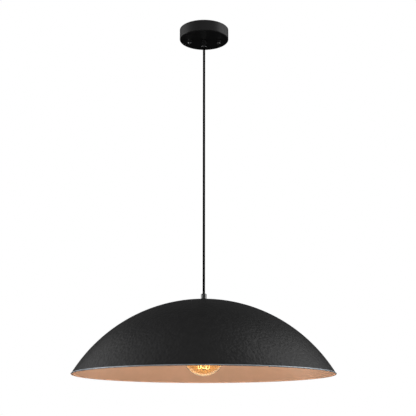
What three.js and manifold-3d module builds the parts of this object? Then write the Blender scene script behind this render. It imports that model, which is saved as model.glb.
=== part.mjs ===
// A pendant ceiling light: a wide spun dome on one straight cord, hung from a round ceiling canopy.
// Millimetres, +Z up. The origin is the centre of the ceiling plane, and everything is below it.

import * as THREE from "three";
import { mergeVertices } from "three/addons/utils/BufferGeometryUtils.js";
import Module from "manifold-3d";

const wasm = await Module();
wasm.setup();

// ---- Driving dimensions ----

const SHADE_RADIUS = 300;
const SHADE_HEIGHT = 172.2;
const SHADE_WALL = 1.2;
const SHADE_APEX_Z = -677.5;
const RIM_BEAD_RADIUS = 1.4;

const CANOPY_RADIUS = 60.5;
const CANOPY_DEPTH = 27.1;
const CANOPY_WALL = 1.2;
const CANOPY_EDGE = 2.2;
const STUD_SPACING = 72;
const STUD_RADIUS = 2;
const CAP_NUT_RADIUS = 5.25;
const CAP_NUT_LENGTH = 11;

const CROSSBAR_LENGTH = 104;
const CROSSBAR_WIDTH = 22;
const CROSSBAR_THICKNESS = 2;

const CORD_RADIUS = 2.9;
const CORD_BEND_RADIUS = 1.9;
const GRIP_RADIUS = 6.6;
const UPPER_GRIP_LENGTH = 19.7;
const LOWER_GRIP_LENGTH = 15;
const GRIP_BORE = 3.25;
const THREAD_RADIUS = 4.9;
const THREAD_HOLE = 5.2;

const SOCKET_RADIUS = 20.5;
const SOCKET_TOP = -8.3;
const SOCKET_SPLIT = -27.6;
const SOCKET_BOTTOM = -62;

const BULB_TIP = -38.5;
const BULB_LENGTH = 135;
const GLOBE_RADIUS = 47.5;
const GLASS_WALL = 0.9;
const SCREW_PITCH = 3.63;
const SCREW_RADIUS = 13.05;

const FILAMENT_STRANDS = 6;
const FILAMENT_RADIUS = 12.6;
const FILAMENT_TURN = 5.5; // degrees that the cage is turned about the bulb's axis
const FILAMENT_TOP = -58;
const FILAMENT_BOTTOM = -118;

const GAP = 0.3; // kept between two pieces that touch
const WIRE_RADIUS = 0.4;
const SMALL_SEGMENTS = 12;
const MEDIUM_SEGMENTS = 18;
const CANOPY_SEGMENTS = 40;
const SHADE_SEGMENTS = 56;
const SHADE_STEPS = 9;

// ---- Materials ----

const finish = (color, roughness, metalness) => ({ color, roughness, metalness });

const FINISHES = {
  shadeBlack: finish(0x1b1b1c, 0.5, 0.3),
  satinBlack: finish(0x161616, 0.4, 0.3),
  glossBlack: finish(0x0b0b0b, 0.2, 0.4),
  cordBlack: finish(0x050505, 0.75, 0),
  zinc: finish(0xb9bcc0, 0.35, 0.9),
  brass: finish(0xb08d4a, 0.3, 0.95),
  bakelite: finish(0x141210, 0.35, 0),
  porcelain: finish(0xe9e5dc, 0.3, 0),
  nylon: finish(0xd9d9d4, 0.5, 0),
  liveBrown: finish(0x5a3420, 0.5, 0),
  neutralBlue: finish(0x2d5fa8, 0.5, 0),
  earthGreen: finish(0x3f8f3a, 0.5, 0),
  connectorGrey: finish(0x8f9296, 0.6, 0),
  amberGlass: finish(0xd8913f, 0.05, 0),
  clearGlass: finish(0xdfe6e4, 0.05, 0),
  solder: finish(0xc4c6c8, 0.4, 0.9),
  filament: finish(0xffb04a, 0.5, 0),
};

// ---- Geometry helpers ----

const along = (a, b, t) => a + (b - a) * t;

// The points of a circular arc, both ends included, with angles in degrees from +r towards +z.
function arc(centreR, centreZ, radius, startAngle, endAngle, steps) {
  const points = [];
  for (let i = 0; i <= steps; i += 1) {
    const angle = THREE.MathUtils.degToRad(along(startAngle, endAngle, i / steps));
    points.push([centreR + radius * Math.cos(angle), centreZ + radius * Math.sin(angle)]);
  }
  return points;
}

// The area that a profile in (r, z) encloses, positive when it runs anticlockwise.
function profileArea(profile) {
  let doubled = 0;
  profile.forEach(([r, z], i) => {
    const [nextR, nextZ] = profile[(i + 1) % profile.length];
    doubled += r * nextZ - nextR * z;
  });
  return doubled / 2;
}

// A turned piece about Z. A profile that leaves the axis free is closed on itself.
function turned(profile, segments) {
  const ordered = profileArea(profile) > 0 ? profile : [...profile].reverse();
  const onAxis = ordered.some(([r]) => r === 0);
  const closed = onAxis ? fromAxis(ordered) : [...ordered, ordered[0]];
  const points = closed.map(([r, z]) => new THREE.Vector2(r, z));
  return new THREE.LatheGeometry(points, segments).rotateX(Math.PI / 2);
}

// The same loop of points, starting at the axis point that follows another axis point.
function fromAxis(profile) {
  const start = profile.findIndex(([r], i) => {
    const [previousR] = profile[(i + profile.length - 1) % profile.length];
    return r === 0 && previousR === 0;
  });
  return [...profile.slice(start), ...profile.slice(0, start)];
}

// A ring or washer with square edges.
const ring = (inner, outer, bottom, top, segments) =>
  turned([[inner, bottom], [outer, bottom], [outer, top], [inner, top]], segments);

// A plain cylinder along Z.
function rod(radius, bottom, top, segments) {
  const length = top - bottom;
  return new THREE.CylinderGeometry(radius, radius, length, segments)
    .rotateX(Math.PI / 2)
    .translate(0, 0, (top + bottom) / 2);
}

const block = (width, depth, height, x, y, z) =>
  new THREE.BoxGeometry(width, depth, height).translate(x, y, z);

// A round wire or cord along a smooth curve through the given points.
function wire(points, radius, sides, steps) {
  const route = new THREE.CatmullRomCurve3(points.map((p) => new THREE.Vector3(...p)));
  const section = new THREE.Shape();
  for (let i = 0; i < sides; i += 1) {
    const angle = (i / sides) * 2 * Math.PI;
    const place = [radius * Math.cos(angle), radius * Math.sin(angle)];
    if (i === 0) section.moveTo(...place);
    else section.lineTo(...place);
  }
  section.closePath();
  return new THREE.ExtrudeGeometry(section, { extrudePath: route, steps, bevelEnabled: false });
}

// A hexagonal nut along Z, with its size across the flats.
function hexNut(acrossFlats, bore, bottom, height) {
  const outline = new THREE.Shape();
  const corner = acrossFlats / Math.sqrt(3);
  for (let i = 0; i < 6; i += 1) {
    const angle = (i / 6) * 2 * Math.PI;
    const place = [corner * Math.cos(angle), corner * Math.sin(angle)];
    if (i === 0) outline.moveTo(...place);
    else outline.lineTo(...place);
  }
  outline.closePath();
  outline.holes.push(new THREE.Path().absarc(0, 0, bore, 0, 2 * Math.PI, true));
  const settings = { depth: height, bevelEnabled: false, curveSegments: SMALL_SEGMENTS };
  return new THREE.ExtrudeGeometry(outline, settings).translate(0, 0, bottom);
}

// ---- Joining and cutting ----

function toSolid(geometry) {
  const bare = geometry.clone();
  bare.deleteAttribute("normal");
  bare.deleteAttribute("uv");
  const merged = mergeVertices(bare, 1e-3);
  return new wasm.Manifold(
    new wasm.Mesh({
      numProp: 3,
      vertProperties: merged.attributes.position.array,
      triVerts: new Uint32Array(merged.index.array),
    }),
  );
}

function toGeometry(solid) {
  const { vertProperties, triVerts } = solid.getMesh();
  return new THREE.BufferGeometry()
    .setAttribute("position", new THREE.BufferAttribute(vertProperties, 3))
    .setIndex(new THREE.BufferAttribute(triVerts, 1));
}

const cut = (geometry, ...tools) =>
  toGeometry(tools.reduce((solid, tool) => solid.subtract(toSolid(tool)), toSolid(geometry)));

const join = (geometry, ...others) =>
  toGeometry(others.reduce((solid, other) => solid.add(toSolid(other)), toSolid(geometry)));

// ---- Small hardware ----

// A slotted screw along Z: its head's top face is at headTop, and its shank points down.
function slottedScrew(headRadius, headHeight, shankRadius, length, headTop) {
  const headBottom = headTop - headHeight;
  const screw = turned(
    [
      [0, headBottom - length],
      [shankRadius, headBottom - length],
      [shankRadius, headBottom],
      [headRadius, headBottom],
      [headRadius, headTop - 0.25 * headHeight],
      [headRadius * 0.8, headTop],
      [0, headTop],
    ],
    SMALL_SEGMENTS,
  );
  const slotDepth = 0.4 * headHeight;
  const slot = block(2.2 * headRadius, 0.9, 2 * slotDepth, 0, 0, headTop);
  return cut(screw, slot);
}

// A headless slotted screw along Z, for the side of a cord grip.
function setScrew(radius, length) {
  const body = rod(radius, 0, length, SMALL_SEGMENTS);
  const slot = block(3 * radius, 0.7, 1.6, 0, 0, length);
  return cut(body, slot);
}

// A closed cap or connector with a blind bore from its open face at z = 0, pointing up.
function blindCap(openRadius, tipRadius, length, bore, boreDepth) {
  const shoulder = length - tipRadius * 0.8;
  const dome = [0.92, 0.7, 0.38].map((share, i) => [
    tipRadius * share,
    shoulder + (length - shoulder) * [0.42, 0.75, 0.94][i],
  ]);
  return turned(
    [
      [0, boreDepth],
      [bore, boreDepth],
      [bore, 0],
      [openRadius * 0.88, 0],
      [openRadius, 0.8],
      [tipRadius, shoulder],
      ...dome,
      [0, length],
    ],
    SMALL_SEGMENTS,
  );
}

// ---- Scene graph ----

const light = new THREE.Group();

function add(group, name, geometry, look) {
  const material = new THREE.MeshStandardMaterial(FINISHES[look]);
  const mesh = new THREE.Mesh(geometry, material);
  mesh.name = name;
  group.add(mesh);
  return mesh;
}

function subgroup(parent, z) {
  const group = new THREE.Group();
  group.position.z = z;
  parent.add(group);
  return group;
}

const SIDES = [
  ["left", -1],
  ["right", 1],
];

// ---- Ceiling end: crossbar, studs, canopy and its fasteners ----

const EARTH_SCREW_X = -46;
const BOX_SLOT_X = 20;
const BOX_SLOT_LENGTH = 12;
const BOX_SLOT_RADIUS = 2.4;
const BORE_CLEARANCE = 0.3;
const STUD_BOTTOM = -35;

function crossbar() {
  const bar = block(CROSSBAR_LENGTH, CROSSBAR_WIDTH, CROSSBAR_THICKNESS, 0, 0, -CROSSBAR_THICKNESS / 2);
  const through = (radius, x) =>
    rod(radius, -2 * CROSSBAR_THICKNESS, CROSSBAR_THICKNESS, SMALL_SEGMENTS).translate(x, 0, 0);
  const tools = [through(STUD_RADIUS + BORE_CLEARANCE, EARTH_SCREW_X)];
  SIDES.forEach(([, sign]) => {
    tools.push(through(STUD_RADIUS + BORE_CLEARANCE, (sign * STUD_SPACING) / 2));
    const start = sign * BOX_SLOT_X - BOX_SLOT_LENGTH / 2 + BOX_SLOT_RADIUS;
    const end = sign * BOX_SLOT_X + BOX_SLOT_LENGTH / 2 - BOX_SLOT_RADIUS;
    tools.push(through(BOX_SLOT_RADIUS, start));
    tools.push(through(BOX_SLOT_RADIUS, end));
    tools.push(block(end - start, 2 * BOX_SLOT_RADIUS, 3 * CROSSBAR_THICKNESS, (start + end) / 2, 0, 0));
  });
  return cut(bar, ...tools);
}

function canopy() {
  const floor = -CANOPY_DEPTH;
  const innerEdge = CANOPY_EDGE - CANOPY_WALL;
  const outerArc = arc(CANOPY_RADIUS - CANOPY_EDGE, floor + CANOPY_EDGE, CANOPY_EDGE, -90, 0, 3);
  const innerArc = arc(CANOPY_RADIUS - CANOPY_EDGE, floor + CANOPY_EDGE, innerEdge, 0, -90, 2);
  const cup = turned(
    [
      [THREAD_HOLE, floor],
      ...outerArc,
      [CANOPY_RADIUS, 0],
      [CANOPY_RADIUS - CANOPY_WALL, 0],
      ...innerArc,
      [THREAD_HOLE, floor + CANOPY_WALL],
    ],
    CANOPY_SEGMENTS,
  );
  const holes = SIDES.map(([, sign]) =>
    rod(STUD_RADIUS + BORE_CLEARANCE, floor - 1, floor + 3, SMALL_SEGMENTS).translate(
      (sign * STUD_SPACING) / 2,
      0,
      0,
    ),
  );
  return cut(cup, ...holes);
}

// A cord grip's turned body: a barrel with one rounded mouth at z = length, and the cord's bore.
function gripBarrel(length, seatRadius, seatDepth) {
  const mouthRadius = 2.4;
  return turned(
    [
      [seatRadius, 0],
      [GRIP_RADIUS, 0],
      ...arc(GRIP_RADIUS - mouthRadius, length - mouthRadius, mouthRadius, 0, 90, 3),
      [GRIP_BORE + 0.6, length],
      [GRIP_BORE, length - 0.8],
      [GRIP_BORE, seatDepth],
      [seatRadius, seatDepth],
    ],
    MEDIUM_SEGMENTS,
  );
}

const SET_SCREW_RADIUS = 1.8;
const SET_SCREW_LENGTH = 3.1;

// The side hole for a grip's set screw, along +Y.
const setScrewHole = (z) =>
  rod(SET_SCREW_RADIUS + BORE_CLEARANCE, 1, 2 * GRIP_RADIUS, SMALL_SEGMENTS)
    .rotateX(-Math.PI / 2)
    .translate(0, 0, z);

function addSetScrew(group, name, z) {
  const screw = add(group, name, setScrew(SET_SCREW_RADIUS, SET_SCREW_LENGTH), "nylon");
  screw.rotation.x = -Math.PI / 2;
  screw.position.set(0, GRIP_BORE + 0.1, z);
}

const ceiling = subgroup(light, 0);

add(ceiling, "crossbar", crossbar(), "zinc");
add(ceiling, "canopy", canopy(), "satinBlack");

SIDES.forEach(([side, sign]) => {
  const x = (sign * STUD_SPACING) / 2;
  const stud = rod(STUD_RADIUS, STUD_BOTTOM, -0.2, SMALL_SEGMENTS);
  add(ceiling, `canopy_stud_${side}`, stud, "zinc").position.x = x;
  const lockNut = hexNut(7, STUD_RADIUS + BORE_CLEARANCE, -CROSSBAR_THICKNESS - GAP - 3.2, 3.2);
  add(ceiling, `stud_locknut_${side}`, lockNut, "zinc").position.x = x;
  const bore = STUD_RADIUS + BORE_CLEARANCE;
  const nut = blindCap(CAP_NUT_RADIUS, CAP_NUT_RADIUS, CAP_NUT_LENGTH, bore, CAP_NUT_LENGTH - 2.2);
  const capNut = add(ceiling, `cap_nut_${side}`, nut, "glossBlack");
  capNut.rotation.x = Math.PI;
  capNut.position.set(x, 0, -CANOPY_DEPTH - GAP);
});

// ---- Upper cord grip, clamped through the canopy's floor ----

const UPPER_GRIP_TOP = -CANOPY_DEPTH - GAP;
const UPPER_GRIP_MOUTH = UPPER_GRIP_TOP - UPPER_GRIP_LENGTH;
const UPPER_THREAD_LENGTH = 10.4;

function upperGrip() {
  const barrel = gripBarrel(UPPER_GRIP_LENGTH, GRIP_BORE, 1).rotateX(Math.PI);
  const thread = ring(GRIP_BORE, THREAD_RADIUS, -0.5, UPPER_THREAD_LENGTH, MEDIUM_SEGMENTS);
  const barrelInPlace = barrel.translate(0, 0, UPPER_GRIP_TOP);
  const threadInPlace = thread.translate(0, 0, UPPER_GRIP_TOP);
  return cut(join(barrelInPlace, threadInPlace), setScrewHole(UPPER_GRIP_TOP - 9));
}

add(ceiling, "upper_grip", upperGrip(), "glossBlack");
addSetScrew(ceiling, "upper_grip_screw", UPPER_GRIP_TOP - 9);

const canopyFloor = -CANOPY_DEPTH + CANOPY_WALL;
add(
  ceiling,
  "canopy_washer",
  ring(THREAD_HOLE, 9, canopyFloor + GAP, canopyFloor + GAP + 0.9, MEDIUM_SEGMENTS),
  "zinc",
);
add(ceiling, "canopy_locknut", hexNut(14, THREAD_HOLE, canopyFloor + 1.5, 3.6), "zinc");

// ---- Cord end and leads inside the canopy ----

const CORD_PIVOT_OFFSET = 2;
const BEND_CLEARANCE = CORD_BEND_RADIUS + GAP;
const UPPER_PIVOT = UPPER_GRIP_MOUTH - CORD_PIVOT_OFFSET;
const LOWER_PIVOT = SHADE_APEX_Z + LOWER_GRIP_LENGTH + CORD_PIVOT_OFFSET;
const CANOPY_CORD_TOP = -13;
const CORD_SIDES = 8;

const LEAD_RADIUS = 0.95;
const LEAD_SIDES = 6;
const LEAD_OFFSET = 1.3;
const LEAD_ANGLES = { live: 60, earth: 180, neutral: 300 };
const LEAD_STEPS = 12;
const CONNECTOR_Y = 28;
const CONNECTOR_X = 7;
const CONNECTOR_Z = -14;

const cordCanopyEnd = rod(CORD_RADIUS, UPPER_PIVOT + BEND_CLEARANCE, CANOPY_CORD_TOP, CORD_SIDES);
add(ceiling, "cord_canopy_end", cordCanopyEnd, "cordBlack");

// Where a core leaves the cord's cut end, in a frame turned by the given number of degrees.
function coreStart(name, turn, z) {
  const angle = THREE.MathUtils.degToRad(LEAD_ANGLES[name] - turn);
  return [LEAD_OFFSET * Math.cos(angle), LEAD_OFFSET * Math.sin(angle), z];
}

// A supply lead, from the cord's cut end into its twist-on connector.
const supplyLead = (name, turn) =>
  wire(
    [
      coreStart(name, turn, CANOPY_CORD_TOP + GAP),
      coreStart(name, turn, CANOPY_CORD_TOP + 2),
      [1.5, 8, -7.5],
      [-2, 17, -9.5],
      [-5, 24, CONNECTOR_Z + 1],
      [-1, CONNECTOR_Y, CONNECTOR_Z],
      [CONNECTOR_X + 6, CONNECTOR_Y, CONNECTOR_Z],
    ],
    LEAD_RADIUS,
    LEAD_SIDES,
    LEAD_STEPS,
  );

const SUPPLY_CORES = [
  ["live", "liveBrown", 0],
  ["neutral", "neutralBlue", 180],
];

SUPPLY_CORES.forEach(([name, colour, turn]) => {
  const pair = subgroup(ceiling, 0);
  pair.rotation.z = THREE.MathUtils.degToRad(turn);
  add(pair, `canopy_lead_${name}`, supplyLead(name, turn), colour);
  const connector = add(pair, `wire_connector_${name}`, blindCap(5, 3.8, 18, 2.2, 11), "connectorGrey");
  connector.rotation.y = Math.PI / 2;
  connector.position.set(CONNECTOR_X, CONNECTOR_Y, CONNECTOR_Z);
});

const EYELET_Z = -CROSSBAR_THICKNESS - GAP;
const EYELET_THICKNESS = 0.9;

function earthEyelet() {
  const eye = ring(STUD_RADIUS + BORE_CLEARANCE, 4.4, -EYELET_THICKNESS, 0, SMALL_SEGMENTS);
  const neck = block(2.6, 4, EYELET_THICKNESS, 0, 5.6, -EYELET_THICKNESS / 2);
  const barrel = rod(1.5, 7, 11.5, 8).rotateX(-Math.PI / 2).translate(0, 0, -1.5);
  return join(eye, neck, barrel);
}

const eyelet = add(ceiling, "earth_eyelet", earthEyelet(), "brass");
eyelet.position.set(EARTH_SCREW_X, 0, EYELET_Z);

const earthScrew = slottedScrew(4, 2.4, STUD_RADIUS, 3, 0);
const screw = add(ceiling, "earth_screw", earthScrew, "earthGreen");
screw.rotation.x = Math.PI;
screw.position.set(EARTH_SCREW_X, 0, EYELET_Z - EYELET_THICKNESS - GAP - 2.4);

const earthLead = wire(
  [
    coreStart("earth", 0, CANOPY_CORD_TOP + GAP),
    coreStart("earth", 0, CANOPY_CORD_TOP + 2),
    [-7, 3, -7.5],
    [-22, 9, -8],
    [-34, 16, -8],
    [-43, 19, -6],
    [EARTH_SCREW_X, 15.5, EYELET_Z - 1.5],
    [EARTH_SCREW_X, 11.8, EYELET_Z - 1.5],
  ],
  LEAD_RADIUS,
  LEAD_SIDES,
  LEAD_STEPS,
);
add(ceiling, "canopy_lead_earth", earthLead, "earthGreen");

// ---- Suspension cord, with a short bending piece at each grip's mouth ----

function bend(name, z) {
  const ball = new THREE.SphereGeometry(CORD_BEND_RADIUS, 10, 8).rotateX(Math.PI / 2);
  add(light, name, ball, "cordBlack").position.z = z;
}

bend("cord_bend_upper", UPPER_PIVOT);
bend("cord_bend_lower", LOWER_PIVOT);

const CORD_STEPS = 39;
const cordTop = UPPER_PIVOT - BEND_CLEARANCE;
const cordBottom = LOWER_PIVOT + BEND_CLEARANCE;
const suspension = wire([[0, 0, cordTop], [0, 0, cordBottom]], CORD_RADIUS, CORD_SIDES, CORD_STEPS);
add(light, "cord_suspension", suspension, "cordBlack");

// ---- Shade assembly, in the frame of the dome's top ----

const shadeEnd = subgroup(light, SHADE_APEX_Z);

// A spherical cap whose edge is rolled into a round bead.
function shade() {
  const sphere = (SHADE_RADIUS ** 2 + SHADE_HEIGHT ** 2) / (2 * SHADE_HEIGHT);
  const beadR = SHADE_RADIUS - RIM_BEAD_RADIUS;
  const beadZ = RIM_BEAD_RADIUS - SHADE_HEIGHT;
  const toBead = Math.hypot(beadR, beadZ + sphere);
  const beadAngle = THREE.MathUtils.radToDeg(Math.atan2(beadZ + sphere, beadR));
  const meetsBead = (radius) =>
    beadAngle + THREE.MathUtils.radToDeg(Math.acos((radius - toBead) / RIM_BEAD_RADIUS));
  const outerMeets = meetsBead(sphere);
  const innerMeets = meetsBead(sphere - SHADE_WALL);
  const bead = arc(beadR, beadZ, RIM_BEAD_RADIUS, outerMeets, innerMeets - 360, 6);
  const angleAt = (radius, r) => THREE.MathUtils.radToDeg(Math.acos(r / radius));
  const holeAngle = angleAt(sphere, THREAD_HOLE);
  const outer = arc(0, -sphere, sphere, holeAngle, angleAt(sphere, bead[0][0]), SHADE_STEPS);
  const inside = sphere - SHADE_WALL;
  const inner = arc(0, -sphere, inside, angleAt(inside, bead.at(-1)[0]), holeAngle, SHADE_STEPS);
  return turned([...outer, ...bead.slice(1, -1), ...inner], SHADE_SEGMENTS);
}

add(shadeEnd, "shade", shade(), "shadeBlack");

const TOP_WASHER_THICKNESS = 0.8;
const LOWER_GRIP_BOTTOM = 2 * GAP + TOP_WASHER_THICKNESS;
const lowerGripHeight = LOWER_GRIP_LENGTH - LOWER_GRIP_BOTTOM;
const NIPPLE_SEAT = 6.5;
const NIPPLE_BOTTOM = -17;
const LOWER_SCREW_Z = 10.6;

add(
  shadeEnd,
  "top_washer",
  ring(THREAD_HOLE, 8.2, GAP, GAP + TOP_WASHER_THICKNESS, MEDIUM_SEGMENTS),
  "glossBlack",
);

const lowerGripBody = gripBarrel(lowerGripHeight, THREAD_HOLE, NIPPLE_SEAT);
const lowerGrip = cut(lowerGripBody.translate(0, 0, LOWER_GRIP_BOTTOM), setScrewHole(LOWER_SCREW_Z));
add(shadeEnd, "lower_grip", lowerGrip, "glossBlack");
addSetScrew(shadeEnd, "lower_grip_screw", LOWER_SCREW_Z);

const nippleTop = LOWER_GRIP_BOTTOM + NIPPLE_SEAT - GAP;
add(shadeEnd, "nipple", ring(GRIP_BORE, THREAD_RADIUS, NIPPLE_BOTTOM, nippleTop, MEDIUM_SEGMENTS), "zinc");
add(shadeEnd, "clamp_washer", ring(THREAD_HOLE, 13, -3.1, -1.9, MEDIUM_SEGMENTS), "zinc");
add(shadeEnd, "clamp_nut", hexNut(14, THREAD_HOLE, -7.9, 4.5), "zinc");

// ---- Lampholder ----

function socketCap() {
  const wall = 2;
  const inner = SOCKET_RADIUS - wall;
  return turned(
    [
      [THREAD_HOLE, SOCKET_TOP - 3.2],
      [9, SOCKET_TOP - 3.2],
      [inner - 3.5, SOCKET_TOP - 6],
      [inner, SOCKET_TOP - 10],
      [inner, SOCKET_SPLIT],
      [SOCKET_RADIUS, SOCKET_SPLIT],
      [SOCKET_RADIUS, SOCKET_TOP - 8],
      [SOCKET_RADIUS - 3, SOCKET_TOP - 4],
      [10, SOCKET_TOP],
      [THREAD_HOLE, SOCKET_TOP],
    ],
    MEDIUM_SEGMENTS,
  );
}

function socketBody() {
  const inner = SOCKET_RADIUS - 2.1;
  const lip = 15.5;
  return turned(
    [
      [lip, SOCKET_BOTTOM],
      [SOCKET_RADIUS - 1, SOCKET_BOTTOM],
      [SOCKET_RADIUS, SOCKET_BOTTOM + 1],
      [SOCKET_RADIUS, SOCKET_SPLIT - GAP],
      [inner, SOCKET_SPLIT - GAP],
      [inner, SOCKET_BOTTOM + 2],
      [lip, SOCKET_BOTTOM + 2],
    ],
    MEDIUM_SEGMENTS,
  );
}

const INSULATOR_TOP = -28.2;
const INSULATOR_BOTTOM = -36;
const TERMINAL_X = 11;

function socketInsulator() {
  const disc = rod(SOCKET_RADIUS - 2.4, INSULATOR_BOTTOM, INSULATOR_TOP, MEDIUM_SEGMENTS);
  const rivetHole = rod(1.8, INSULATOR_BOTTOM - 1, INSULATOR_TOP + 1, SMALL_SEGMENTS);
  const screwHoles = SIDES.map(([, sign]) =>
    rod(2.2, INSULATOR_TOP - 6.5, INSULATOR_TOP + 1, SMALL_SEGMENTS).translate(sign * TERMINAL_X, 0, 0),
  );
  return cut(disc, rivetHole, ...screwHoles);
}

function centreContact() {
  return turned(
    [
      [0, INSULATOR_BOTTOM - 2.2],
      [3, INSULATOR_BOTTOM - 2.2],
      [4.2, INSULATOR_BOTTOM - 1.4],
      [4.2, INSULATOR_BOTTOM - GAP],
      [1.5, INSULATOR_BOTTOM - GAP],
      [1.5, INSULATOR_TOP + GAP],
      [2.8, INSULATOR_TOP + GAP],
      [2.8, INSULATOR_TOP + 1.1],
      [0, INSULATOR_TOP + 1.1],
    ],
    SMALL_SEGMENTS,
  );
}

function screwShell() {
  const inner = SCREW_RADIUS + 0.4;
  const outer = inner + 0.5;
  const top = INSULATOR_BOTTOM - GAP;
  return turned(
    [
      [inner, SOCKET_BOTTOM + 2.6],
      [outer, SOCKET_BOTTOM + 2.6],
      [outer, top],
      [9, top],
      [9, top - 0.6],
      [inner, top - 0.6],
    ],
    MEDIUM_SEGMENTS,
  );
}

add(shadeEnd, "socket_cap", socketCap(), "bakelite");
add(shadeEnd, "socket_body", socketBody(), "bakelite");
add(shadeEnd, "socket_insulator", socketInsulator(), "porcelain");
add(shadeEnd, "socket_contact", centreContact(), "brass");
add(shadeEnd, "socket_screw_shell", screwShell(), "brass");

const SHADE_CORD_BOTTOM = -20;
const shadeCordTop = LOWER_GRIP_LENGTH + CORD_PIVOT_OFFSET - BEND_CLEARANCE;
const cordShadeEnd = rod(CORD_RADIUS, SHADE_CORD_BOTTOM, shadeCordTop, CORD_SIDES);
add(shadeEnd, "cord_shade_end", cordShadeEnd, "cordBlack");

SUPPLY_CORES.forEach(([name, colour, turn]) => {
  const pair = subgroup(shadeEnd, 0);
  pair.rotation.z = THREE.MathUtils.degToRad(turn);
  const terminal = slottedScrew(3.4, 2.2, 1.9, 6, INSULATOR_TOP + GAP + 2.2);
  add(pair, `terminal_screw_${name}`, terminal, "brass").position.x = TERMINAL_X;
  const lead = wire(
    [
      coreStart(name, turn, SHADE_CORD_BOTTOM - GAP),
      coreStart(name, turn, SHADE_CORD_BOTTOM - 1.6),
      [4.5, 6.2, SHADE_CORD_BOTTOM - 4.4],
      [9, 8.2, INSULATOR_TOP + 1.7],
      [13.2, 6.2, INSULATOR_TOP + 1.7],
    ],
    LEAD_RADIUS,
    LEAD_SIDES,
    9,
  );
  add(pair, `socket_lead_${name}`, lead, colour);
});

const EARTH_TAG_Z = -15.2;

function earthTag() {
  const eye = ring(THREAD_HOLE, 7.6, EARTH_TAG_Z - 0.8, EARTH_TAG_Z, SMALL_SEGMENTS);
  const tail = block(3.4, 2.6, 0.8, -8.8, 0, EARTH_TAG_Z - 0.4);
  return join(eye, tail);
}

const shadeEarthLead = wire(
  [
    coreStart("earth", 0, SHADE_CORD_BOTTOM - GAP),
    coreStart("earth", 0, SHADE_CORD_BOTTOM - 1.6),
    [-5, 0, SHADE_CORD_BOTTOM - 3.4],
    [-10.4, 0, SHADE_CORD_BOTTOM - 1],
    [-10, 0, EARTH_TAG_Z - 2.2],
  ],
  LEAD_RADIUS,
  LEAD_SIDES,
  9,
);

add(shadeEnd, "cap_locknut", hexNut(12.7, THREAD_HOLE, -14.9, 3.1), "zinc");
add(shadeEnd, "earth_tag", earthTag(), "brass");
add(shadeEnd, "socket_lead_earth", shadeEarthLead, "earthGreen");

// ---- Globe bulb, in the frame of its contact's tip ----

const bulb = subgroup(shadeEnd, BULB_TIP);
const GLOBE_Z = GLOBE_RADIUS - BULB_LENGTH;
const NECK_RADIUS = 11.4;
const NECK_TOP = -17;
const NECK_BOTTOM = -25;
const NECK_JOIN_ANGLE = 50;
const CAP_BOTTOM = -26;

// The globe's outline at a given distance inside its outer surface.
function globeOutline(inset) {
  const neck = NECK_RADIUS - inset;
  const radius = GLOBE_RADIUS - inset;
  const globe = arc(0, GLOBE_Z, radius, NECK_JOIN_ANGLE, -90, 9);
  const [joinR, joinZ] = globe[0];
  const slope = THREE.MathUtils.degToRad(NECK_JOIN_ANGLE);
  const blend = new THREE.CubicBezierCurve(
    new THREE.Vector2(neck, NECK_BOTTOM),
    new THREE.Vector2(neck, NECK_BOTTOM - 13),
    new THREE.Vector2(joinR - 14 * Math.sin(slope), joinZ + 14 * Math.cos(slope)),
    new THREE.Vector2(joinR, joinZ),
  );
  const shoulder = blend.getPoints(5).map((p) => [p.x, p.y]);
  const lowest = [0, GLOBE_Z - radius];
  return [[neck, NECK_TOP], ...shoulder, ...globe.slice(1, -1), lowest];
}

function bulbGlass() {
  return turned([...globeOutline(0), ...globeOutline(GLASS_WALL).reverse()], 24);
}

function bulbCap() {
  const valley = SCREW_RADIUS - 0.8;
  const threads = [];
  const firstCrest = -8;
  for (let i = 0; i < 4; i += 1) {
    const crest = firstCrest - i * SCREW_PITCH;
    threads.push([valley, crest + SCREW_PITCH / 2], [SCREW_RADIUS, crest]);
  }
  const inner = valley - 0.45;
  return turned(
    [
      [8.9, -4],
      ...threads,
      [valley, firstCrest - 3.5 * SCREW_PITCH],
      [SCREW_RADIUS, CAP_BOTTOM + 2],
      [SCREW_RADIUS, CAP_BOTTOM],
      [inner, CAP_BOTTOM],
      [inner, -6.6],
      [8.6, -4.6],
    ],
    MEDIUM_SEGMENTS,
  );
}

function bulbInsulator() {
  return turned([[0, -3.9], [8.3, -3.9], [5, -1.6], [0, -1.6]], MEDIUM_SEGMENTS);
}

function bulbContact() {
  return turned([[0, -1.3], [4.2, -1.3], [3.6, -0.5], [2, -0.1], [0, 0]], SMALL_SEGMENTS);
}

const STEM_ROD = 1.5;
const BUTTON_RADIUS = 2.6;

function bulbStem() {
  return turned(
    [
      [0, -19.5],
      [10, -19.5],
      [10, -20.6],
      [5, -24],
      [3.6, -34],
      [3.2, -43],
      [STEM_ROD, -46],
      [STEM_ROD, FILAMENT_BOTTOM],
      [BUTTON_RADIUS, FILAMENT_BOTTOM - 0.8],
      [BUTTON_RADIUS, FILAMENT_BOTTOM - 3.2],
      [1.2, FILAMENT_BOTTOM - 4.4],
      [0, FILAMENT_BOTTOM - 4.4],
    ],
    12,
  );
}

const cageAngle = (step) =>
  (step / FILAMENT_STRANDS) * 2 * Math.PI + THREE.MathUtils.degToRad(FILAMENT_TURN);

const onCage = (step, radius, z) => {
  const angle = cageAngle(step);
  return [radius * Math.cos(angle), radius * Math.sin(angle), z];
};

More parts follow.
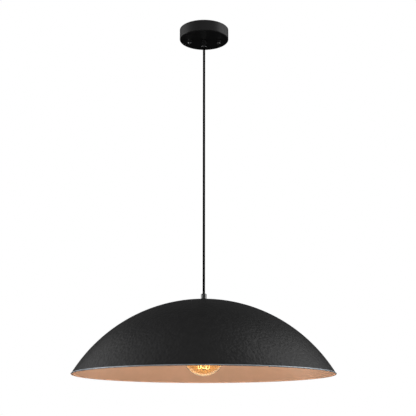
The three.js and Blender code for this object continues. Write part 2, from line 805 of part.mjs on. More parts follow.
// One wire that runs down and up round the cage.
function filament() {
  const turnMargin = 3;
  const points = [];
  for (let strand = 0; strand < FILAMENT_STRANDS; strand += 1) {
    const heights = [FILAMENT_TOP - turnMargin, (FILAMENT_TOP + FILAMENT_BOTTOM) / 2];
    heights.push(FILAMENT_BOTTOM + turnMargin);
    if (strand % 2) heights.reverse();
    heights.forEach((z) => points.push(onCage(strand, FILAMENT_RADIUS, z)));
    const turnZ = strand % 2 ? FILAMENT_TOP : FILAMENT_BOTTOM;
    if (strand < FILAMENT_STRANDS - 1) points.push(onCage(strand + 0.5, FILAMENT_RADIUS, turnZ));
  }
  return wire(points, WIRE_RADIUS, 4, 9 * FILAMENT_STRANDS);
}

// A small collar with thin arms that reach out to the filament's turns.
function filamentSupport(collarInner, z, firstStep) {
  const collar = ring(collarInner, collarInner + 1, z - 0.6, z + 0.6, 12);
  const arms = [];
  for (let step = firstStep; step < FILAMENT_STRANDS; step += 2) {
    const arm = rod(0.35, collarInner + 0.5, FILAMENT_RADIUS - 0.2, 6).rotateY(Math.PI / 2);
    arms.push(arm.rotateZ(cageAngle(step)).translate(0, 0, z));
  }
  return join(collar, ...arms);
}

const leadIn = (step) =>
  wire(
    [
      onCage(step, 3.9, -40),
      onCage(step, 4.6, -47),
      onCage(step, FILAMENT_RADIUS - 0.7, FILAMENT_TOP + 3),
      onCage(step, FILAMENT_RADIUS, FILAMENT_TOP - 2),
    ],
    WIRE_RADIUS,
    5,
    10,
  );

add(bulb, "bulb_contact", bulbContact(), "solder");
add(bulb, "bulb_insulator", bulbInsulator(), "bakelite");
add(bulb, "bulb_screw_cap", bulbCap(), "brass");
add(bulb, "bulb_glass", bulbGlass(), "amberGlass");
add(bulb, "bulb_stem", bulbStem(), "clearGlass");
add(bulb, "bulb_filament", filament(), "filament");
add(bulb, "filament_support_upper", filamentSupport(STEM_ROD + GAP, FILAMENT_TOP + 1.1, 1.5), "zinc");
add(bulb, "filament_support_lower", filamentSupport(BUTTON_RADIUS + GAP, FILAMENT_BOTTOM - 1.9, 0.5), "zinc");
add(bulb, "bulb_lead_in_start", leadIn(0), "zinc");
add(bulb, "bulb_lead_in_end", leadIn(FILAMENT_STRANDS - 1), "zinc");

export default light;
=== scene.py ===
"""A pendant ceiling light: a wide black dome, copper inside, on one cord from a round canopy."""

import math

import bmesh
import bpy
from mathutils import Euler, Matrix, Vector


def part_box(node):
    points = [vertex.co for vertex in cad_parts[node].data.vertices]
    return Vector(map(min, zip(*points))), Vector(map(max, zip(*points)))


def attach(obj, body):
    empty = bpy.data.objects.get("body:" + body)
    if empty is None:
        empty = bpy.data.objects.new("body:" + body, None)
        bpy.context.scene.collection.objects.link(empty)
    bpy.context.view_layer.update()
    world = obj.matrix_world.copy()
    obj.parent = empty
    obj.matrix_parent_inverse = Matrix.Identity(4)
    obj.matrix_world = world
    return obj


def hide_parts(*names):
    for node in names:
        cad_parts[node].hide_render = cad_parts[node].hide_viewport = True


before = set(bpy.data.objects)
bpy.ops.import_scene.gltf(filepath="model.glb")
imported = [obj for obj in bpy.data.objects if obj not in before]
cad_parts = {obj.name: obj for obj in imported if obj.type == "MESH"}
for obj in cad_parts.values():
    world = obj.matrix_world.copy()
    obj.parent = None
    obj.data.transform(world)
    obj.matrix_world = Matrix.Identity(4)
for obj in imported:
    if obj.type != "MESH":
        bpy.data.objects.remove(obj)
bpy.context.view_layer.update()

MM = 0.001


# ---- Places, from the frame ----


def low(node):
    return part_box(node)[0]


def high(node):
    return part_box(node)[1]


def middle(node):
    lo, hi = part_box(node)
    return (lo + hi) / 2


# ---- Camera ----

# metres and degrees, and the lens in millimetres on a 36 mm sensor
CAMERA_DISTANCE = 2.1384
CAMERA_BELOW_RIM = 0.1386
CAMERA_TILT = 13.95
CAMERA_PAN = 0.262
CAMERA_LENS = 80.2


def make_camera():
    """The photograph's view: from below the rim, looking up."""
    data = bpy.data.cameras.new("camera")
    data.sensor_width = 36
    data.lens = CAMERA_LENS
    camera = bpy.data.objects.new("camera", data)
    camera.location = (0, -CAMERA_DISTANCE, low("shade").z - CAMERA_BELOW_RIM)
    camera.rotation_euler = (math.radians(90 + CAMERA_TILT), 0, math.radians(-CAMERA_PAN))
    bpy.context.collection.objects.link(camera)
    bpy.context.scene.camera = camera


make_camera()


# ---- Shader helpers ----

# a colour mix node lists its number, vector and colour sockets under the same names
COLOUR_A = 6
COLOUR_B = 7
COLOUR_RESULT = 2

NOISE_ROUGHNESS = 0.55


class Shader:
    """One material, built up from nodes. Each value is a number, a colour or a node's socket."""

    def __init__(self, name):
        self.material = bpy.data.materials.new(name)
        self.material.use_nodes = True
        self.nodes = self.material.node_tree.nodes
        self.links = self.material.node_tree.links
        self.surface = self.nodes["Principled BSDF"]

    def set(self, **values):
        """Constants on the shader's own sockets."""
        for socket, value in values.items():
            self.surface.inputs[socket.replace("_", " ")].default_value = value
        return self

    def node(self, kind, inputs=None, **settings):
        made = self.nodes.new(kind)
        for key, value in settings.items():
            setattr(made, key, value)
        for key, value in (inputs or {}).items():
            self.feed(value, made.inputs[key])
        return made

    def feed(self, value, socket):
        if isinstance(value, bpy.types.NodeSocket):
            self.links.new(value, socket)
        else:
            socket.default_value = value

    def place(self, scale):
        """The spot on the object, stretched."""
        spot = self.node("ShaderNodeTexCoord").outputs["Object"]
        return self.node("ShaderNodeMapping", {"Vector": spot, "Scale": scale}).outputs["Vector"]

    def noise(self, scale, detail, stretch=(1, 1, 1)):
        inputs = {
            "Vector": self.place(stretch),
            "Scale": scale,
            "Detail": detail,
            "Roughness": NOISE_ROUGHNESS,
        }
        return self.node("ShaderNodeTexNoise", inputs).outputs["Fac"]

    def cells(self, scale, stretch):
        inputs = {"Vector": self.place(stretch), "Scale": scale}
        made = self.node("ShaderNodeTexVoronoi", inputs, feature="SMOOTH_F1")
        return made.outputs["Distance"]

    def math(self, operation, a, b):
        made = self.node("ShaderNodeMath", operation=operation)
        self.feed(a, made.inputs[0])
        self.feed(b, made.inputs[1])
        return made.outputs[0]

    def spread(self, value, low_in, high_in, low_out, high_out):
        """The value moved from one range to another."""
        inputs = {
            "Value": value,
            "From Min": low_in,
            "From Max": high_in,
            "To Min": low_out,
            "To Max": high_out,
        }
        return self.node("ShaderNodeMapRange", inputs).outputs["Result"]

    def mix(self, share, a, b):
        """A colour between a and b."""
        made = self.node("ShaderNodeMix", data_type="RGBA")
        self.feed(share, made.inputs["Factor"])
        self.feed(a, made.inputs[COLOUR_A])
        self.feed(b, made.inputs[COLOUR_B])
        return made.outputs[COLOUR_RESULT]

    def colour(self, value):
        self.feed(value, self.surface.inputs["Base Color"])

    def roughness(self, value):
        self.feed(value, self.surface.inputs["Roughness"])

    def bump(self, height, distance):
        made = self.node("ShaderNodeBump", {"Height": height, "Distance": distance})
        self.links.new(made.outputs["Normal"], self.surface.inputs["Normal"])


def rgb(r, g, b):
    return (r, g, b, 1.0)


# ---- Mesh helpers ----

ON_AXIS = 1e-7  # metres from the axis under which a turned point is a tip
SHARP = 40  # degrees between faces, over which an edge stays sharp


def finished(build, name, material, sharp=SHARP):
    """The bmesh as an object with outward faces, smooth shading and one material."""
    bmesh.ops.recalc_face_normals(build, faces=build.faces)
    mesh = bpy.data.meshes.new(name)
    build.to_mesh(mesh)
    build.free()
    mesh.shade_smooth()
    mesh.set_sharp_from_angle(angle=math.radians(sharp))
    mesh.materials.append(material)
    made = bpy.data.objects.new(name, mesh)
    bpy.context.collection.objects.link(made)
    return made


def skin_rings(build, rings, closed):
    """Faces between each ring of vertices and the next, and from the last to the first if closed.

    A ring of one vertex is a tip.
    """
    following = rings[1:] + rings[:1] if closed else rings[1:]
    for near, far in zip(rings, following):
        count = max(len(near), len(far))
        if count == 1:
            continue
        for k in range(count):
            corners = [near[k % len(near)], near[(k + 1) % len(near)]]
            corners += [far[(k + 1) % len(far)], far[k % len(far)]]
            build.faces.new(list(dict.fromkeys(corners)))


def rounded(profile, radius):
    """The same closed outline with each corner rounded off by about radius."""
    steps = 3
    result = []
    for i, point in enumerate(profile):
        here = Vector(point)
        before = Vector(profile[i - 1]) - here
        after = Vector(profile[(i + 1) % len(profile)]) - here
        cut_in = min(radius, 0.45 * before.length)
        cut_out = min(radius, 0.45 * after.length)
        start = here + before.normalized() * cut_in
        end = here + after.normalized() * cut_out
        for k in range(steps + 1):
            t = k / steps
            spot = (1 - t) ** 2 * start + 2 * t * (1 - t) * here + t**2 * end
            result.append(tuple(spot))
    return result


def arc(centre_r, centre_z, radius, start, end, steps):
    """Points of an arc in (r, z), with angles in degrees from +r towards +z."""
    points = []
    for k in range(steps + 1):
        angle = math.radians(start + (end - start) * k / steps)
        points.append((centre_r + radius * math.cos(angle), centre_z + radius * math.sin(angle)))
    return points


def turned(name, profile, material, segments, ridge=None, sharp=SHARP):
    """A mesh turned about Z from (radius, height) points in metres.

    ridge(angle, radius, height) gives a vertex its new radius.
    """
    build = bmesh.new()
    rings = []
    for radius, height in profile:
        if radius < ON_AXIS:
            rings.append([build.verts.new((0, 0, height))])
            continue
        ring = []
        for k in range(segments):
            angle = 2 * math.pi * k / segments
            r = ridge(angle, radius, height) if ridge else radius
            ring.append(build.verts.new((r * math.cos(angle), r * math.sin(angle), height)))
        rings.append(ring)
    closed = len(rings[0]) > 1
    skin_rings(build, rings, closed)
    return finished(build, name, material, sharp)


def along(a, b, share):
    """The number at a share of the way from a to b."""
    return a + (b - a) * share


def helix(depth, pitch, low_z, high_z, least):
    """A right-hand thread for turned(), on radii over least, fading out at both ends."""

    def reshape(angle, radius, height):
        if radius < least:
            return radius
        phase = (height / pitch - angle / (2 * math.pi)) % 1
        share = min(1, max(0, (height - low_z) / pitch), max(0, (high_z - height) / pitch))
        return radius - depth * share * abs(2 * phase - 1)

    return reshape


def knurl(count, depth, low_z, high_z, fade, least):
    """Rounded ridges round a barrel for turned(), on radii over least, fading out at both ends."""

    def reshape(angle, radius, height):
        if radius < least:
            return radius
        share = min(1, max(0, (height - low_z) / fade), max(0, (high_z - height) / fade))
        return radius - depth * share * (0.5 - 0.5 * math.cos(count * angle))

    return reshape


def rows(radius, start, end, count):
    """Outline points up or down a straight side, both ends included."""
    return [(radius, along(start, end, k / count)) for k in range(count + 1)]


def smooth_route(points, steps):
    """Points along a Catmull-Rom curve through the given ones."""
    spots = [Vector(p) for p in points]
    spots = [2 * spots[0] - spots[1], *spots, 2 * spots[-1] - spots[-2]]
    route = []
    for i in range(1, len(spots) - 2):
        a, b, c, d = spots[i - 1 : i + 3]
        for k in range(steps):
            t = k / steps
            route.append(
                0.5 * (2 * b + (c - a) * t + (2 * a - 5 * b + 4 * c - d) * t**2)
                + 0.5 * (3 * b - a - 3 * c + d) * t**3
            )
    return [*route, spots[-2]]


def tube(name, route, radius, material, sides):
    """A round tube along the route, closed at both ends."""
    build = bmesh.new()
    count = len(route)
    tangents = []
    for i in range(count):
        ahead = route[min(i + 1, count - 1)] - route[max(i - 1, 0)]
        tangents.append(ahead.normalized())
    side = tangents[0].orthogonal().normalized()
    rings = []
    for spot, tangent in zip(route, tangents):
        side = (side - side.dot(tangent) * tangent).normalized()
        other = tangent.cross(side)
        ring = []
        for k in range(sides):
            angle = 2 * math.pi * k / sides
            outward = math.cos(angle) * side + math.sin(angle) * other
            ring.append(build.verts.new(spot + radius * outward))
        rings.append(ring)
    skin_rings(build, rings, False)
    build.faces.new(rings[0])
    build.faces.new(rings[-1])
    return finished(build, name, material, sharp=60)


def placed(made, spot, turn=(0, 0, 0)):
    """The object with its mesh turned about the origin and moved to the spot."""
    made.data.transform(Matrix.Translation(spot) @ Euler(turn).to_matrix().to_4x4())
    return made


def stands_for(made, body, slot, *nodes):
    """The piece rides on a body and replaces its CAD nodes, which are hidden; slot is not used."""
    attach(made, body)
    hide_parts(*nodes)
    return made


# ---- Frame heights and sizes, in metres ----

APEX = high("shade").z
RIM = low("shade").z
SHADE_RADIUS = high("shade").x
SHADE_HEIGHT = APEX - RIM
DOME_RADIUS = (SHADE_RADIUS**2 + SHADE_HEIGHT**2) / (2 * SHADE_HEIGHT)
DOME_CENTRE = APEX - DOME_RADIUS
SHADE_WALL = 1.2 * MM
BEAD = 1.4 * MM
THREAD_HOLE = 5.2 * MM

UPPER_PIVOT = middle("cord_bend_upper").z
LOWER_PIVOT = middle("cord_bend_lower").z
CORD_RADIUS = 2.9 * MM
TIP = high("bulb_contact").z


def at(anchor, *points):
    """Outline points given in millimetres from an anchor height."""
    return [(r * MM, anchor + z * MM) for r, z in points]


# ---- Materials ----

# grain scales are per metre, and bump depths are in metres


def metal(name, colour, roughness, grain=900, streak=(1, 1, 1)):
    """A plated or bare metal with fine tooling marks and uneven gloss."""
    made = Shader(name).set(Metallic=1.0)
    marks = made.noise(grain, 5, streak)
    patches = made.noise(45, 3)
    dull = tuple(c * 0.72 for c in colour)
    made.colour(made.mix(made.spread(patches, 0.35, 0.7, 0, 1), rgb(*dull), rgb(*colour)))
    made.roughness(made.spread(marks, 0.3, 0.7, roughness - 0.06, roughness + 0.06))
    made.bump(marks, 0.00001)
    return made.material


def moulded(name, colour, roughness, depth=0.00002, specular=0.5):
    """A moulded plastic or fired piece with a faint ripple and a slightly uneven tone."""
    made = Shader(name).set(Specular_IOR_Level=specular)
    ripple = made.noise(260, 4)
    tone = made.noise(60, 3)
    darker = tuple(c * 0.8 for c in colour)
    made.colour(made.mix(made.spread(tone, 0.3, 0.7, 0, 1), rgb(*darker), rgb(*colour)))
    made.roughness(made.spread(ripple, 0.3, 0.7, roughness - 0.05, roughness + 0.07))
    made.bump(ripple, depth)
    return made.material


def hammered_black():
    """Matt black powder coat over a small rounded pebble texture."""
    made = Shader("hammered_black").set(Specular_IOR_Level=0.55)
    pebbles = made.cells(185, (1, 1, 0.8))
    broad = made.noise(75, 3, (1, 1, 0.7))
    speck = made.noise(1500, 2)
    dents = made.math("MULTIPLY", pebbles, -1.1)
    height = made.math("ADD", dents, made.math("MULTIPLY", broad, 0.9))
    height = made.math("ADD", height, made.math("MULTIPLY", speck, 0.12))
    patches = made.spread(broad, 0.35, 0.65, 0, 1)
    made.colour(made.mix(patches, rgb(0.0085, 0.0085, 0.009), rgb(0.014, 0.014, 0.0145)))
    made.roughness(made.spread(pebbles, 0.1, 0.6, 0.5, 0.4))
    made.bump(height, 0.0007)
    return made.material


def satin_black():
    """Satin black coat with a faint orange peel."""
    made = Shader("satin_black").set(Specular_IOR_Level=0.5)
    peel = made.noise(420, 4)
    tone = made.noise(50, 3)
    made.colour(made.mix(tone, rgb(0.008, 0.008, 0.0085), rgb(0.014, 0.014, 0.0145)))
    made.roughness(made.spread(peel, 0.3, 0.7, 0.36, 0.46))
    made.bump(peel, 0.00003)
    return made.material


def gloss_black():
    """Glossy black nickel with fine turned lines."""
    made = Shader("gloss_black").set(Coat_Weight=1.0, Coat_Roughness=0.08, Specular_IOR_Level=0.9)
    lines = made.noise(300, 3, (1, 1, 9))
    made.colour(made.mix(lines, rgb(0.004, 0.004, 0.0045), rgb(0.009, 0.009, 0.0095)))
    made.roughness(made.spread(lines, 0.3, 0.7, 0.14, 0.22))
    made.bump(lines, 0.000012)
    return made.material


def satin_copper():
    """Satin copper lining, sprayed over the spun dome."""
    made = Shader("satin_copper").set(Metallic=0.55)
    rings = made.noise(26, 3, (1, 1, 22))
    mottle = made.noise(38, 4)
    patches = made.spread(mottle, 0.35, 0.65, 0, 1)
    made.colour(made.mix(patches, rgb(0.62, 0.41, 0.295), rgb(0.66, 0.435, 0.32)))
    made.roughness(made.spread(rings, 0.35, 0.65, 0.38, 0.47))
    made.bump(rings, 0.00003)
    return made.material


def cord_sheath():
    """Matt black cord sheath with the faint lay of the cores under it."""
    made = Shader("cord_sheath").set(Specular_IOR_Level=0.02)
    lay = made.noise(420, 3, (1, 1, 0.25))
    made.colour(made.mix(lay, rgb(0.0025, 0.0025, 0.0028), rgb(0.006, 0.006, 0.0062)))
    made.roughness(made.spread(lay, 0.3, 0.7, 0.75, 0.9))
    made.bump(lay, 0.00004)
    return made.material


def glass(name, colour, glow=0.0):
    """Blown glass with a slight waviness, clear or tinted, and a faint painted glow from its
    emission.
    """
    # the emission is a painted glow that stands in for the filament's light scattered in the glass
    made = Shader(name).set(Transmission_Weight=1.0, IOR=1.46, Emission_Strength=glow)
    made.surface.inputs["Emission Color"].default_value = rgb(1.0, 0.42, 0.08)
    wave = made.noise(22, 2)
    made.colour(made.mix(wave, rgb(*colour), rgb(*(min(1, c * 1.04) for c in colour))))
    made.roughness(made.spread(wave, 0, 1, 0, 0.02))
    made.bump(wave, 0.00012)
    return made.material


FILAMENT_GLOW = 6


def lit_filament():
    """A glowing carbon filament, hotter in random patches."""
    made = Shader("lit_filament").set(Emission_Strength=FILAMENT_GLOW)
    heat = made.noise(120, 3)
    glow = made.mix(made.spread(heat, 0.35, 0.65, 0, 1), rgb(1.0, 0.56, 0.2), rgb(1.0, 0.72, 0.34))
    made.links.new(glow, made.surface.inputs["Emission Color"])
    made.colour(rgb(0.05, 0.03, 0.02))
    made.roughness(0.5)
    return made.material


SHADE_BLACK = hammered_black()
COPPER = satin_copper()
RIM_METAL = metal("rim_metal", (0.78, 0.84, 0.9), 0.55, 1200, (1, 1, 6))
CANOPY_BLACK = satin_black()
GLOSS_BLACK = gloss_black()
CORD_BLACK = cord_sheath()
ZINC = metal("zinc_plate", (0.56, 0.57, 0.58), 0.34)
BRASS = metal("brass", (0.66, 0.46, 0.19), 0.28)
SOLDER = metal("solder", (0.6, 0.6, 0.62), 0.42, 500)
BAKELITE = moulded("bakelite", (0.012, 0.01, 0.009), 0.32)
PORCELAIN = moulded("porcelain", (0.8, 0.78, 0.72), 0.22, 0.00003)
NYLON = moulded("nylon", (0.72, 0.72, 0.68), 0.5)
BROWN_LEAD = moulded("brown_lead", (0.1, 0.04, 0.02), 0.42)
BLUE_LEAD = moulded("blue_lead", (0.03, 0.13, 0.4), 0.42)
GREEN_LEAD = moulded("green_lead", (0.05, 0.28, 0.05), 0.42)
GREY_PLASTIC = moulded("grey_plastic", (0.28, 0.29, 0.3), 0.5)
# the amber glass gets a faint painted glow standing in for the lit filament's light
AMBER_GLASS = glass("amber_glass", (1.0, 0.85, 0.58), glow=0.04)
CLEAR_GLASS = glass("clear_glass", (0.95, 0.97, 0.96))
FILAMENT = lit_filament()
GREEN_SCREW = moulded("green_lacquer", (0.04, 0.22, 0.05), 0.3, specular=0.7)
BLACK_GLASS = moulded("black_glass", (0.012, 0.01, 0.012), 0.12, 0.00001, 0.7)
WIRE = metal("nickel_wire", (0.6, 0.58, 0.55), 0.3)


# ---- Suspension cord ----

CORD_RINGS = 120
CORD_END_RINGS = 12
CORD_SIDES = 24


def make_cord():
    """The free cord between the two grips, with its elbows and the ends inside the grips."""
    drop = UPPER_PIVOT - LOWER_PIVOT
    path = [Vector((0, 0, UPPER_PIVOT - drop * k / CORD_RINGS)) for k in range(CORD_RINGS + 1)]
    cord = tube("cord", path, CORD_RADIUS, CORD_BLACK, CORD_SIDES)
    stands_for(cord, "cord", "cord_black", "cord_suspension")
    for name, node, body, height in (
        ("cord_elbow_top", "cord_bend_upper", "cord_bend_top", UPPER_PIVOT),
        ("cord_elbow_foot", "cord_bend_lower", "cord_bend_foot", LOWER_PIVOT),
    ):
        outline = arc(0, height, CORD_RADIUS, -90, 90, 16)
        outline[0] = (0, height - CORD_RADIUS)
        outline[-1] = (0, height + CORD_RADIUS)
        ball = turned(name, outline, CORD_BLACK, CORD_SIDES)
        stands_for(ball, body, "cord_black", node)
    top = high("cord_canopy_end").z
    foot = low("cord_shade_end").z
    for name, node, body, near, far in (
        ("cord_in_canopy", "cord_canopy_end", "ceiling_set", UPPER_PIVOT, top),
        ("cord_in_holder", "cord_shade_end", "cord_tail", LOWER_PIVOT, foot),
    ):
        steps = range(CORD_END_RINGS + 1)
        route = [Vector((0, 0, near + (far - near) * k / CORD_END_RINGS)) for k in steps]
        end = tube(name, route, CORD_RADIUS, CORD_BLACK, CORD_SIDES)
        stands_for(end, body, "cord_black", node)


make_cord()


# ---- Shade ----

DOME_STEPS = 90
DOME_SEGMENTS = 256
RIM_SPLIT = -88  # degrees round the rim's bead where the bare metal ends and the copper begins


def dome_arc(radius, start_r, end_r, steps):
    """Points of the dome's own arc, from one distance off the axis to another."""
    start = math.degrees(math.acos(start_r / radius))
    end = math.degrees(math.acos(end_r / radius))
    return arc(0, DOME_CENTRE, radius, start, end, steps)


def make_shade():
    """The black outer skin, the copper lining and the rolled rim's bare metal outside."""
    bead_r = SHADE_RADIUS - BEAD
    bead_z = RIM + BEAD
    inside = DOME_RADIUS - SHADE_WALL
    between = DOME_RADIUS - SHADE_WALL / 2
    reach = math.hypot(bead_r, bead_z - DOME_CENTRE)
    lean = math.degrees(math.atan2(bead_z - DOME_CENTRE, bead_r))
    outer_meets = lean + math.degrees(math.acos((DOME_RADIUS - reach) / BEAD))
    inner_meets = lean + math.degrees(math.acos((inside - reach) / BEAD))
    bead_top_r = bead_r + BEAD * math.cos(math.radians(outer_meets))

    skin = dome_arc(DOME_RADIUS, THREAD_HOLE, bead_top_r, DOME_STEPS)
    skin += dome_arc(between, bead_top_r, THREAD_HOLE, DOME_STEPS)
    outer = turned("shade_outside", skin, SHADE_BLACK, DOME_SEGMENTS)

    lining = dome_arc(between, THREAD_HOLE, bead_r, DOME_STEPS)
    lining += arc(bead_r, bead_z, BEAD, RIM_SPLIT, inner_meets - 360, 10)
    lining += dome_arc(inside, bead_r - BEAD, THREAD_HOLE, DOME_STEPS)
    inner = turned("shade_lining", lining, COPPER, DOME_SEGMENTS)

    band = arc(bead_r, bead_z, BEAD, outer_meets, RIM_SPLIT, 14)
    band += arc(bead_r, bead_z, BEAD * 0.2, RIM_SPLIT, outer_meets, 4)
    rim = turned("shade_rim", band, RIM_METAL, DOME_SEGMENTS)

    stands_for(outer, "shade_set", "shade_black", "shade")
    stands_for(inner, "shade_set", "shade_copper", "shade")
    stands_for(rim, "shade_set", "rim_metal", "shade")


make_shade()


# ---- Canopy and the fittings on it ----


def carved(made, cutters):
    """The object with each cutter's shape taken out of it."""
    for cutter in cutters:
        modifier = made.modifiers.new("cut", "BOOLEAN")
        modifier.object = cutter
        modifier.operation = "DIFFERENCE"
        modifier.solver = "EXACT"
    graph = bpy.context.evaluated_depsgraph_get()
    mesh = bpy.data.meshes.new_from_object(made.evaluated_get(graph))
    made.modifiers.clear()
    made.data = mesh
    mesh.shade_smooth()
    mesh.set_sharp_from_angle(angle=math.radians(SHARP))
    for cutter in cutters:
        bpy.data.objects.remove(cutter)
    return made


def drill(radius, low_z, high_z, spot, turn=(0, 0, 0)):
    """A round cutter for carved(), turned about the origin and moved to the spot."""
    tool = turned("drill", [(0, low_z), (radius, low_z), (radius, high_z), (0, high_z)], ZINC, 32)
    return placed(tool, spot, turn)


CANOPY_SIDES = 128


def make_canopy():
    """The pressed cup with its rolled lip, and a hole for each stud."""
    floor = low("canopy").z
    radius = high("canopy").x
    wall = 1.2 * MM
    edge = 2.2 * MM
    lip = 0.3 * MM
    outline = [(THREAD_HOLE, floor)]
    outline += [(THREAD_HOLE + (radius - edge - THREAD_HOLE) * k / 8, floor) for k in range(1, 8)]
    outline += arc(radius - edge, floor + edge, edge, -90, 0, 8)
    outline += [(radius, floor + edge + (-floor - edge) * k / 8) for k in range(1, 8)]
    outline += [(radius, -lip), (radius - lip, 0), (radius - wall + lip, 0), (radius - wall, -lip)]
    outline += [(radius - wall, floor + edge - (floor + edge) * k / 8) for k in range(7, 0, -1)]
    outline += arc(radius - edge, floor + edge, edge - wall, 0, -90, 6)
    outline += [(THREAD_HOLE, floor + wall)]
    cup = turned("canopy_cup", outline, CANOPY_BLACK, CANOPY_SIDES, sharp=50)
    holes = []
    for side in ("left", "right"):
        x = middle(f"canopy_stud_{side}").x
        holes.append(drill(2.3 * MM, floor - MM, floor + 3 * MM, (x, 0, 0)))
    stands_for(carved(cup, holes), "ceiling_set", "canopy_black", "canopy")


def make_cap_nuts():
    """The two domed nuts under the canopy, with a knurled band above the dome."""
    for side in ("left", "right"):
        node = f"cap_nut_{side}"
        top = high(node).z
        bottom = low(node).z
        dome = arc(0, bottom + 4.2 * MM, 4.2 * MM, -90, -8, 12)
        dome[0] = (0, bottom)
        outline = [
            *dome,
            (4.35 * MM, bottom + 4.1 * MM),
            (4.45 * MM, bottom + 4.5 * MM),
            (5.05 * MM, bottom + 4.6 * MM),
            (5.25 * MM, bottom + 4.85 * MM),
            *[(5.25 * MM, bottom + (4.85 + 5.2 * k / 10) * MM) for k in range(1, 10)],
            (5.25 * MM, bottom + 10.05 * MM),
            (5.05 * MM, bottom + 10.3 * MM),
            (4.5 * MM, bottom + 10.4 * MM),
            (4.5 * MM, top),
            (2.3 * MM, top),
            (2.3 * MM, bottom + 2.4 * MM),
            (0, bottom + 2.2 * MM),
        ]
        ridges = knurl(20, 0.3 * MM, bottom + 4.85 * MM, bottom + 10.05 * MM, 0.6 * MM, 5 * MM)
        nut = turned(f"knurled_{node}", outline, GLOSS_BLACK, 160, ridges)
        placed(nut, (middle(node).x, 0, 0))
        stands_for(nut, "ceiling_set", "gloss_black", node)


BORE = 3.25  # the cord's hole through grips and nipple, in millimetres
SCREW_HOLE = 2.1 * MM


def screw_hole(node):
    """A cutter for the side hole of a grip's set screw, which faces the back."""
    return drill(SCREW_HOLE, 2 * MM, 9 * MM, (0, 0, middle(node).z), (-math.pi / 2, 0, 0))


def barrel(length, seat_radius, seat_depth):
    """A grip barrel's outline in millimetres, from its seat at 0 to its rounded mouth."""
    radius = 6.6
    mouth = 2.4
    outline = [(seat_radius, 0), (radius - 0.35, 0), (radius, 0.35), (radius, 1.9)]
    outline += [(radius - 0.22, 2.1), (radius - 0.22, 2.4), (radius, 2.6)]
    outline += [(radius, along(2.6, length - mouth, k / 6)) for k in range(1, 6)]
    outline += arc(radius - mouth, length - mouth, mouth, 0, 90, 10)
    outline += [(3.9, length), (3.4, length - 0.25), (BORE, length - 0.8)]
    return [*outline, (BORE, seat_depth), (seat_radius, seat_depth)]


def make_grips():
    """The cord grips above and below, each with a drilled side hole for its set screw."""
    mouth = low("upper_grip").z
    seat = low("canopy").z - 0.3 * MM
    thread = (high("upper_grip").z - seat) / MM
    outline = barrel((seat - mouth) / MM, 4.6, 1.2)[:-1]
    outline += [(BORE, -thread), (4.5, -thread), (4.9, 0.4 - thread)]
    outline += rows(4.9, 0.5 - thread, -0.6, 54) + [(4.6, -0.3)]
    thread_form = helix(0.4 * MM, 1 * MM, seat + 0.6 * MM, high("upper_grip").z, 4.85 * MM)
    barrel_top = seat - 0.2 * MM

    def reshape(angle, radius, height):
        return thread_form(angle, radius, height) if height > barrel_top else radius

    points = [(r * MM, seat - z * MM) for r, z in outline]
    body = turned("cord_grip_top", points, GLOSS_BLACK, 96, reshape)
    carved(body, [screw_hole("upper_grip_screw")])
    stands_for(body, "ceiling_set", "gloss_black", "upper_grip")

    foot = low("lower_grip").z
    outline = barrel((high("lower_grip").z - foot) / MM, 5.2, 6.5)
    body = turned("cord_grip_foot", at(foot, *outline), GLOSS_BLACK, 96)
    carved(body, [screw_hole("lower_grip_screw")])
    stands_for(body, "shade_set", "gloss_black", "lower_grip")

    base = low("top_washer").z
    top = high("top_washer").z
    corners = [(5.2 * MM, base), (8.2 * MM, base), (8.2 * MM, top), (5.2 * MM, top)]
    washer = turned("cover_washer", rounded(corners, 0.25 * MM), GLOSS_BLACK, 96)
    stands_for(washer, "shade_set", "gloss_black", "top_washer")


def make_studs():
    """The canopy's two threaded studs, and the threaded nipple through the dome."""
    for side in ("left", "right"):
        node = f"canopy_stud_{side}"
        bottom = low(node).z
        top = high(node).z
        points = [(0, bottom), (1.6 * MM, bottom)]
        points += rows(2 * MM, bottom + 0.4 * MM, top - 0.3 * MM, 280)
        points += [(1.7 * MM, top), (0, top)]
        thread = helix(0.3 * MM, 0.7 * MM, bottom, top, 1.9 * MM)
        stud = turned(f"threaded_{node}", points, ZINC, 20, thread)
        stands_for(placed(stud, (middle(node).x, 0, 0)), "ceiling_set", "zinc", node)
    node = "nipple"
    bottom = low(node).z
    top = high(node).z
    points = [(BORE * MM, bottom), (4.5 * MM, bottom)]
    points += rows(4.9 * MM, bottom + 0.4 * MM, top - 0.4 * MM, 140)
    points += [(4.5 * MM, top), (BORE * MM, top)]
    tube_form = helix(0.4 * MM, 1 * MM, bottom, top, 4.8 * MM)
    stands_for(turned("threaded_nipple", points, ZINC, 40, tube_form), "shade_set", "zinc", node)


def make_connectors():
    """The two ribbed twist-on connectors, open at the end that the wire goes into."""
    for node in ("wire_connector_live", "wire_connector_neutral"):
        lo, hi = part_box(node)
        sign = 1 if hi.x > -lo.x else -1
        start = lo.x if sign > 0 else -hi.x
        outline = [(0, 11), (2.2, 11), (2.2, 0), (4.5, 0), (5, 0.6), (4.75, 1.1)]
        outline += [(along(4.95, 3.95, k / 10), along(1.6, 13.4, k / 10)) for k in range(11)]
        outline += [(3.7, 14.2), (3.55, 15.2), (3.1, 16.4), (2.2, 17.4), (1.1, 17.9), (0, 18)]
        ribs = knurl(18, 0.38 * MM, 1.5 * MM, 13.6 * MM, 1 * MM, 3.9 * MM)
        cone = turned(f"ribbed_{node}", at(0, *outline), GREY_PLASTIC, 144, ribs)
        placed(cone, (sign * start, middle(node).y, middle(node).z), (0, sign * math.pi / 2, 0))
        stands_for(cone, "ceiling_set", "connector_grey", node)


SCREW_PITCH = 3.63 * MM


